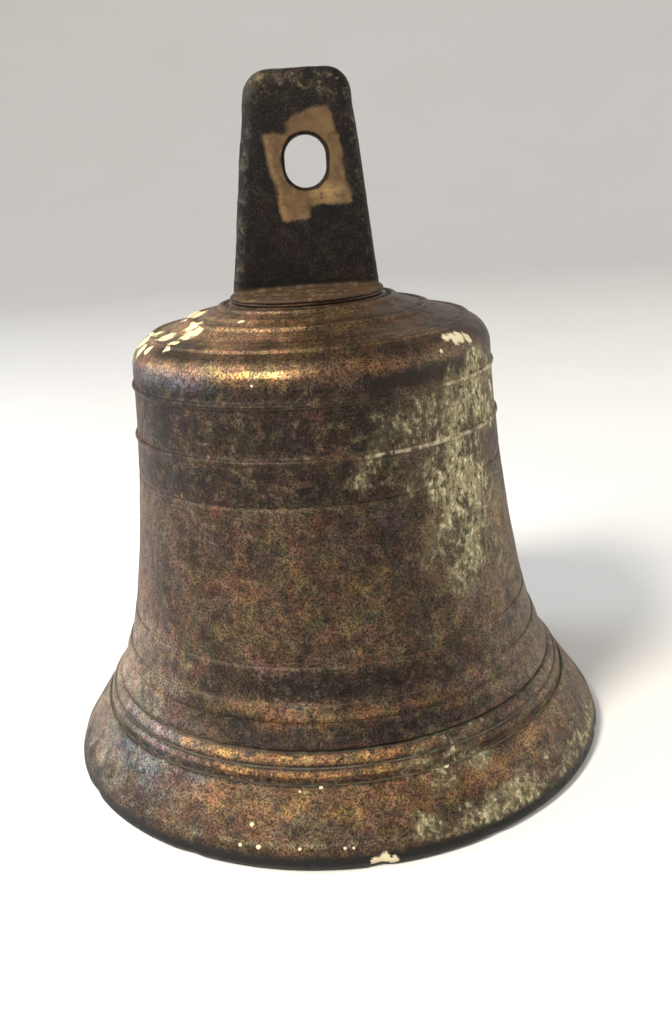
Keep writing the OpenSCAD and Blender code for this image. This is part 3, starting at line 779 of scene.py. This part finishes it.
# %% The bell's inside, and the casting
STRUCK_R, STRUCK_Z = 65.5, 41


def bell_hollow():
    skin = Weathered("unpolished bell bronze", IOR=1.5)
    colour = skin.blend(skin.cloud.above(0.4, 0.6), (58, 47, 38), (84, 66, 48))
    powder = (skin.speckle + skin.z.above(60, 5) * 0.14).above(0.56, 0.66)
    side = skin.x.maths("ABSOLUTE", skin.x)
    off_oval = ((side - STRUCK_R) ** 2 + (skin.y * 0.8) ** 2 + (skin.z - STRUCK_Z) ** 2) ** 0.5
    struck = skin.ragged(off_oval, 5).above(8.5, 5.5)
    colour = skin.layer(colour, (powder * 0.6, (96, 104, 82)), (struck, (186, 140, 80)))
    return skin.set(Base_Color=colour, Metallic=0.3 + struck * 0.65,
                    Roughness=0.62 + powder * 0.25 - struck * 0.34,
                    Normal=skin.bump(skin.speckle * 0.7 + skin.grain * 0.3, 0.3))


def is_outside(face):
    """Whether the face looks away from a point in the middle of the hollow."""
    return face.normal.dot(face.calc_center_median() - Vector((0, 0, 0.07))) > 0


smooth_faces(bell)
for face in bell.faces:
    face.material_index = 0 if is_outside(face) else 1
bell_casting = piece_of(bell, "bell_casting", bell_outside, bell_hollow())
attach(bell_casting, "bell")
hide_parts("bell_body")
print("bell_casting:", len(bell_casting.data.polygons), "faces")

# %% [markdown]
# ## The hanger
# The hanger is a sand casting with soft edges, and the CAD mesh of it has a few long triangles.
# A voxel remesh gives it an even skin of small faces, which noise and dents can then shape. Its
# shank is drawn in first, where the thread is cut later as a piece of its own.

# %% Remesh a casting
SKIN = 0.2


def remeshed(mesh_maker, name, voxel, smoothing):
    """The shape again with even faces, voxel millimetres across."""
    rough = piece_of(mesh_maker, name + " rough")
    grid = rough.modifiers.new("even faces", "REMESH")
    grid.mode = "VOXEL"
    grid.voxel_size = voxel * MM
    soften = rough.modifiers.new("worn", "SMOOTH")
    soften.factor = 0.5
    soften.iterations = smoothing
    even = bmesh.new()
    even.from_object(rough, bpy.context.evaluated_depsgraph_get())
    bpy.data.objects.remove(rough)
    smooth_faces(even)
    return even


def drawn_in(mesh_maker, low, high, from_r, to_r):
    """Draws the points within SKIN of a shaft's surface in, so that a thread can stand round it."""
    for vert in mesh_maker.verts:
        radius = math.hypot(vert.co.x, vert.co.y) / MM
        if low <= vert.co.z / MM <= high and from_r - SKIN < radius < from_r + SKIN:
            vert.co.x *= to_r / from_r
            vert.co.y *= to_r / from_r


SHANK_R, SHANK_END, LOCK_NUT_LOW, SHANK_ROOM = 10, 127.9, 130.9, 1.6
lug = merged_copy("hanger")
drawn_in(lug, SHANK_END, LOCK_NUT_LOW, SHANK_R, SHANK_R - SHANK_ROOM)
lug = remeshed(lug, "hanger", 0.6, 3)
roughen(lug, (0.22, 14), (0.10, 4), (0.04, 1.5))
print("the hanger's skin has", len(lug.faces), "faces")

# %% [markdown]
# Years on a hook have left chips along the hanger's edges, the two deepest near its top on the
# left, and a rubbed patch round the slot where the dark coat has gone down to olive metal. The
# patch has straight, sharp sides, so its mask is the overlap of half planes, less two notches.

# %% Chips, and the rubbed patch
# where, inward, depth, reach
CHIPS = [((-17.6, -5, 226), (1, 0.5, 0), 1.5, 3.2), ((-15.5, -6.5, 238), (0.6, 0.5, -0.6), 1.0, 3),
         ((19.6, -6, 230), (-1, 0.4, 0), 0.9, 2.5), ((-20, -6, 205), (1, 0.6, 0), 0.6, 3),
         ((10, -6, 242.5), (0, 0.4, -1), 0.7, 3), ((-12, 6, 242), (0.2, -0.4, -1), 0.8, 3),
         ((22, 5, 207), (-1, -0.5, 0), 0.7, 3.5), ((-23.5, 6, 186), (1, -0.5, 0), 0.6, 3)]
# x and z, clockwise from the top of the left side
RUBBED_CORNERS = [(-11.2, 222.7), (2, 229.6), (12, 231.2), (18.2, 199.3), (1, 194.6), (-6.4, 194.9)]
RUBBED_NOTCHES = [(-20, -2.9, 223.2, 240), (3.2, 20, 180, 199.3)]
FACE_Y, FACE_SOFT = 6, 0.6

for chip in CHIPS:
    dent(lug, *chip)
lug.normal_update()
lug.verts.index_update()
store_curvature(lug, 8)


def rubbed_metal(skin):
    """The share of bare metal round the slot, in front and behind, and its olive colour."""
    ragged_x = skin.x + (skin.mottle(5, 4) - 0.5) * 3.4
    ragged_z = skin.z + (skin.mottle(4, 4, 0.6, skin.shifted((5, 5, 5))) - 0.5) * 3.4
    patch = 1 - skin.y.above(-FACE_Y - FACE_SOFT, FACE_SOFT - FACE_Y)
    for (x1, z1), (x2, z2) in zip(RUBBED_CORNERS, RUBBED_CORNERS[1:] + RUBBED_CORNERS[:1]):
        run = math.hypot(x2 - x1, z2 - z1)
        inside = (ragged_x - x1) * ((z2 - z1) / run) - (ragged_z - z1) * ((x2 - x1) / run)
        patch = patch * inside.above(-0.9, 0.9)
    left_strip = inside.above(3.4, 1)  # the last side is the left one
    for left, right, low, high in RUBBED_NOTCHES:
        patch = patch * (1 - ragged_x.within(left, right, 0.8) * ragged_z.within(low, high, 0.8))
    off_middle = ((skin.x - 3) ** 2 + (skin.z - 214) ** 2) ** 0.5
    back = ((off_middle + (skin.cloud - 0.5) * 14).above(14, 11)
            * skin.y.above(FACE_Y - FACE_SOFT, FACE_Y + FACE_SOFT))

    flakes = skin.speckle.above(0.34, 0.6)
    lower_right = (skin.x.within(5, 14, 3) * skin.z.within(201, 206, 3)
                   * skin.speckle.above(0.3, 0.56))
    olive = skin.blend(skin.cloud.above(0.42, 0.58), (88, 70, 51), (108, 86, 62))
    olive = skin.stained(olive, (17, 6, 0.5, (98, 68, 52)), (29, 3, 0.6, (66, 57, 40)),
                         (37, 5, 0.5, (132, 114, 80)))
    olive = skin.layer(olive, (left_strip * flakes * 0.6, (144, 120, 84)),
                       (skin.z.above(207, 200) * flakes * 0.3, (142, 114, 80)),
                       (lower_right * 0.7, (176, 144, 98)),
                       (skin.z.above(220, 228) * 0.4, (82, 62, 46)),
                       (skin.grain.above(0.52, 0.36) * 0.4, (82, 68, 48)))
    return (patch + back * 0.7).capped(), olive


print(len(CHIPS), "chips, and a patch with", len(RUBBED_CORNERS), "corners")

# %% [markdown]
# The rest of the hanger is nearly black, paler and greyer towards its top. A dark ring lines the
# slot, and its mask is the distance from the slot's own outline: a stretched circle is the set of
# points one radius away from a short upright line.

# %% The hanger's finish
SLOT_X, SLOT_Z, SLOT_R, SLOT_HALF_LINE = 2.9, 213.7, 7.2, 1.5


def lug_bronze():
    skin = Weathered("dark hanger bronze", IOR=1.28)
    top = (skin.z + (skin.cloud - 0.5) * 16).above(228, 243)
    tint = skin.mottle(5, 6, 0.7, skin.shifted((2, 30, 4)))
    colour = skin.blend(skin.cloud.above(0.4, 0.6), (16, 14, 13), (32, 25, 22))
    colour = skin.stained(colour, (11, 7, 0.6, (34, 40, 32)), (23, 9, 0.6, (54, 36, 32)),
                          (31, 4, 0.45, (74, 66, 54)))
    colour = skin.layer(
        colour, (top * 0.4, (76, 68, 52)),
        (tint.above(0.54, 0.64) * top * 0.8, (132, 126, 106)),
        (tint.above(0.55, 0.45) * top * 0.9, (20, 18, 15)),
        (skin.speckle.above(0.57, 0.65) * top * 0.5, (150, 142, 116)),
        (skin.grain.above(0.54, 0.66) * 0.5, (74, 64, 52)))
    colour = skin.ground_in(colour, (96, 98, 104), 1.25)

    bare, olive = rubbed_metal(skin)
    up = skin.z - SLOT_Z
    past_line = up.maths("MAXIMUM", up.maths("ABSOLUTE", up) - SLOT_HALF_LINE, 0)
    off_slot = ((skin.x - SLOT_X) ** 2 + past_line ** 2) ** 0.5 - SLOT_R
    slot_ring = skin.ragged(off_slot, 1.4).above(1.4, 0.7)
    # Painted light on the hanger's left edge: its lit side in purple-grey.
    lit_left_edge = skin.ridge.above(0.1, 0.6) * skin.x.above(-12, -17) * skin.z.above(238, 230)
    top_left = (skin.ridge.above(0.02, 0.4) * (skin.z - skin.x * 0.6).above(238, 252)
                * skin.speckle.above(0.3, 0.5))
    # Painted glints: bright specks along the hanger's ridges.
    edge_glints = skin.ridge.above(0.3, 0.9) * skin.speckle.above(0.52, 0.62)
    collar = skin.z.above(173.4, 171.6)
    colour = skin.layer(
        colour, (bare, olive), (lit_left_edge * skin.speckle.above(0.4, 0.6) * 0.35, (72, 70, 73)),
        (top_left * 0.35, (76, 70, 50)), (edge_glints * 0.5, (128, 116, 86)),
        (slot_ring * 0.92, (26, 14, 11)), (skin.crease.above(0.1, 0.5) * 0.8, (14, 12, 11)),
        (collar * 0.6, (82, 62, 44)),
        (collar * skin.speckle.above(0.5, 0.62) * 0.35, (136, 108, 74)))
    return skin.set(Base_Color=colour, Metallic=0.1 + (bare + edge_glints).capped() * 0.35,
                    Roughness=(0.5 + skin.speckle.above(0.35, 0.65) * 0.2 + bare * 0.1
                               + lit_left_edge * 0.2),
                    Normal=skin.bump(skin.speckle * 0.6 + skin.grain * 0.5 - bare * 0.5, 0.3))


hanger_casting = piece_of(lug, "hanger_casting", lug_bronze())
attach(hanger_casting, "bell")
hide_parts("hanger")
print("hanger_casting:", len(hanger_casting.data.polygons), "faces")

# %% [markdown]
# ## Leather
# The two packings are oiled leather, squeezed between metal until their edges swell. The section
# is cut as the bell's was, its outer edge gets more points, and these are pushed out in an arc.

# %% Squeezed packings
def leather():
    hide = Weathered("oiled leather")
    colour = hide.blend(hide.cloud.above(0.4, 0.6), (58, 36, 22), (88, 56, 34))
    pores = hide.mottle(0.7, 2, 0.5).above(0.56, 0.46)
    colour = hide.blend(hide.speckle.above(0.5, 0.6) * 0.5, colour, (34, 26, 20))
    return hide.set(Base_Color=colour, Roughness=0.5 + hide.speckle * 0.3,
                    Normal=hide.bump(pores * 0.6 + hide.speckle * 0.4, 0.12))


def squeezed(node, bulge):
    """The packing's section spun again, with its outer edge swollen by bulge millimetres."""
    edge = section_of(node)
    lowest, highest = min(v.co.z for v in edge.verts), max(v.co.z for v in edge.verts)
    outer = min(v.co.x for v in edge.verts)
    nearly_outer = outer + 0.01 * MM
    split_long(edge, lambda part: 0.2 if max(v.co.x for v in part.verts) < nearly_outer else 2)
    for vert in edge.verts:
        if vert.co.x < nearly_outer:
            rise = (vert.co.z - lowest) / (highest - lowest)
            vert.co.x -= bulge * MM * math.sin(math.pi * rise)
    ring = spun(edge, 160)
    ring.normal_update()
    for vert in ring.verts:
        if math.hypot(vert.co.x, vert.co.y) > -outer - 0.1 * MM:
            vert.co.xy *= 1 + 0.006 * noise.noise(vert.co / (5 * MM))
    smooth_faces(ring)
    return ring


hide_finish = leather()
for node, bulge in (("collar_packing", 0.25), ("crown_packing", 0.4)):
    packing = piece_of(squeezed(node, bulge), node + "_leather", hide_finish)
    packing.data.set_sharp_from_angle(angle=math.radians(50))
    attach(packing, "bell")
    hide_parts(node)
    print(packing.name, len(packing.data.polygons), "faces")

# %% [markdown]
# ## The clapper
# The stem is forged, so its faces are flat only by eye: a remesh and a slow noise give it the
# hammer's marks. The ball is cast iron. It is spun from its section, and its two striking sides
# are worn a little flat.

# %% Forge the stem, cast the ball
SPIGOT_R, SPIGOT_END, SPIGOT_ROOM = 4, 5.6, 0.8
BALL_LOW, BALL_MID, BALL_R, BALL_STEPS = 16.2, 31.5, 18, 128
FLAT_DEPTH, FLAT_REACH = 0.5, 5.5
stem = merged_copy("clapper_stem")
drawn_in(stem, SPIGOT_END, BALL_LOW, SPIGOT_R, SPIGOT_R - SPIGOT_ROOM)
stem = remeshed(stem, "stem", 0.55, 2)
roughen(stem, (0.14, 9), (0.06, 3.5))
stem.verts.index_update()
store_curvature(stem, 6)

ball_edge = section_of("clapper_ball")
split_long(ball_edge, lambda part: 0.8)
ball = spun(ball_edge, BALL_STEPS)
ball.normal_update()
roughen(ball, (0.22, 13), (0.08, 4), (0.03, 1.4))
for side in (-1, 1):
    dent(ball, (side * BALL_R, 0, BALL_MID), (-side, 0, 0), FLAT_DEPTH, FLAT_REACH)
smooth_faces(ball)
ball.verts.index_update()
store_curvature(ball, 6)
print("stem", len(stem.faces), "faces, ball", len(ball.faces), "faces")

# %% [markdown]
# Black iron is the forge's scale: dark grey where it is whole, brown where damp came through.
# The ball's two sides have no scale left at all. One finish does for both pieces, because the
# bright spots are read from the distance to the two striking points.

# %% The iron finish
def iron():
    skin = Weathered("black iron", IOR=1.5)
    colour = skin.blend(skin.cloud.above(0.38, 0.6), (44, 42, 42), (66, 56, 48))
    rust = (skin.speckle + skin.crease * 0.2).above(0.54, 0.66)
    side = skin.x.maths("ABSOLUTE", skin.x)
    away = ((side - BALL_R) ** 2 + skin.y ** 2 + (skin.z - BALL_MID) ** 2) ** 0.5
    bright = skin.ragged(away, 5).above(8, 5)
    ridge = skin.ridge.above(0.2, 0.8) * 0.6
    colour = skin.layer(colour, (rust * 0.7, (98, 58, 36)), (ridge, (112, 104, 96)),
                        (bright, (170, 164, 156)))
    return skin.set(Base_Color=colour, Metallic=0.5 + bright * 0.45 - rust * 0.4,
                    Roughness=0.5 + rust * 0.3 - bright * 0.2,
                    Normal=skin.bump(skin.speckle * 0.6 + skin.grain * 0.4, 0.25))


iron_finish = iron()
for mesh_maker, name, node in ((stem, "forged_stem", "clapper_stem"),
                               (ball, "iron_ball", "clapper_ball")):
    made = piece_of(mesh_maker, name, iron_finish)
    made.data.set_sharp_from_angle(angle=math.radians(55))
    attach(made, "clapper")
    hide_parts(node)
    print(name, len(made.data.polygons), "faces")

# %% [markdown]
# ## Threads
# A thread is one tooth's outline spun up a helix. The spin operator has a step for just that. The
# helix is made too long, cut level at both ends and capped, and its lower end is turned down.

# %% Cut the threads
THREAD_STEPS, THREAD_DEPTH, CREST = 40, 0.6, (0.42, 0.58)


def thread(major_r, pitch, low, high, turned_down):
    """A thread between two heights; its depth and its crest are shares of the pitch."""
    minor_r = major_r - THREAD_DEPTH * pitch
    turns = math.ceil((high - low) / pitch) + 2
    helix = bmesh.new()
    tooth = [helix.verts.new((r * MM, 0, (low + (up - 1) * pitch) * MM))
             for r, up in ((minor_r, 0), (major_r, CREST[0]), (major_r, CREST[1]), (minor_r, 1))]
    flanks = [helix.edges.new(pair) for pair in zip(tooth, tooth[1:])]
    bmesh.ops.spin(helix, geom=tooth + flanks, cent=(0, 0, 0), axis=(0, 0, 1),
                   dvec=(0, 0, pitch * MM / THREAD_STEPS), angle=math.tau * turns,
                   steps=THREAD_STEPS * turns, use_merge=False)
    bmesh.ops.remove_doubles(helix, verts=helix.verts, dist=0.01 * MM)
    for height, facing in ((low, -1), (high, 1)):
        level = bmesh.ops.bisect_plane(
            helix, geom=helix.verts[:] + helix.edges[:] + helix.faces[:],
            plane_co=(0, 0, height * MM), plane_no=(0, 0, facing), clear_outer=True)
        rim = [part for part in level["geom_cut"] if isinstance(part, bmesh.types.BMEdge)]
        bmesh.ops.edgeloop_fill(helix, edges=rim)
    for vert in helix.verts:
        radius = math.hypot(vert.co.x, vert.co.y) / MM
        most = major_r - max(turned_down - (vert.co.z / MM - low), 0)
        if radius > most:
            vert.co.xy *= most / radius
    bmesh.ops.recalc_face_normals(helix, faces=helix.faces)
    return helix


print("a thread takes", THREAD_STEPS, "steps a turn")

# %% [markdown]
# ## Steel
# The nuts and washers are black and a little rusty, and the pins are turned bright and oiled.
# One function makes these finishes, and the bronze of the bush and of the hanger's shank too:
# each is two colours, a share of rust or brown stain and a roughness.

# %% Steel and bush finishes
def steel(name, first, second, rust_share, rough):
    skin = Weathered(name, IOR=1.5)
    colour = skin.blend(skin.cloud.above(0.4, 0.6), first, second)
    rust = skin.speckle.above(0.66 - rust_share, 0.76 - rust_share)
    colour = skin.layer(colour, (rust * 0.75, (104, 60, 36)),
                        (skin.grain.above(0.5, 0.3) * 0.3, (24, 22, 21)))
    return skin.set(Base_Color=colour, Metallic=0.75 - rust * 0.6, Roughness=rough + rust * 0.35,
                    Normal=skin.bump(skin.grain * 0.6 + rust * 0.4, 0.08))


black_steel = steel("black steel", (70, 68, 66), (96, 88, 80), 0.12, 0.42)
pin_steel = steel("oiled steel", (150, 147, 142), (122, 112, 102), 0.04, 0.3)
bush_bronze = steel("bush bronze", (196, 148, 82), (160, 116, 66), 0.0, 0.3)

shank_bronze = steel("shank bronze", (140, 104, 64), (98, 74, 50), 0.02, 0.42)
# piece, body, slot, finish, then radius, pitch, low, high and the length that is turned down
THREADS = [
    ("shank_thread", "bell", "hanger_bronze", shank_bronze,
     (SHANK_R, 2.5, SHANK_END + 0.05, LOCK_NUT_LOW + 0.6, 1.2)),
    ("spigot_thread", "clapper", "forged_iron", black_steel,
     (SPIGOT_R, 1.25, SPIGOT_END - 0.02, 10.6, 0.7))]
for name, body, slot, finish, sizes in THREADS:
    cut_thread = piece_of(thread(*sizes), name, finish)
    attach(cut_thread, body)
    print(name, len(cut_thread.data.polygons), "faces")

CAD_FINISHES = {
    "crown_washer": black_steel, "hanger_nut": black_steel, "hanger_lock_nut": black_steel,
    "hanger_peg": pin_steel, "pivot_bush": bush_bronze, "pivot_pin": pin_steel,
    "pivot_washer": black_steel, "pivot_split_pin": pin_steel, "ball_nut": black_steel,
    "ball_split_pin": pin_steel}
for node, finish in CAD_FINISHES.items():
    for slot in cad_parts[node].material_slots:
        slot.material = finish
print(len(CAD_FINISHES), "CAD pieces painted")
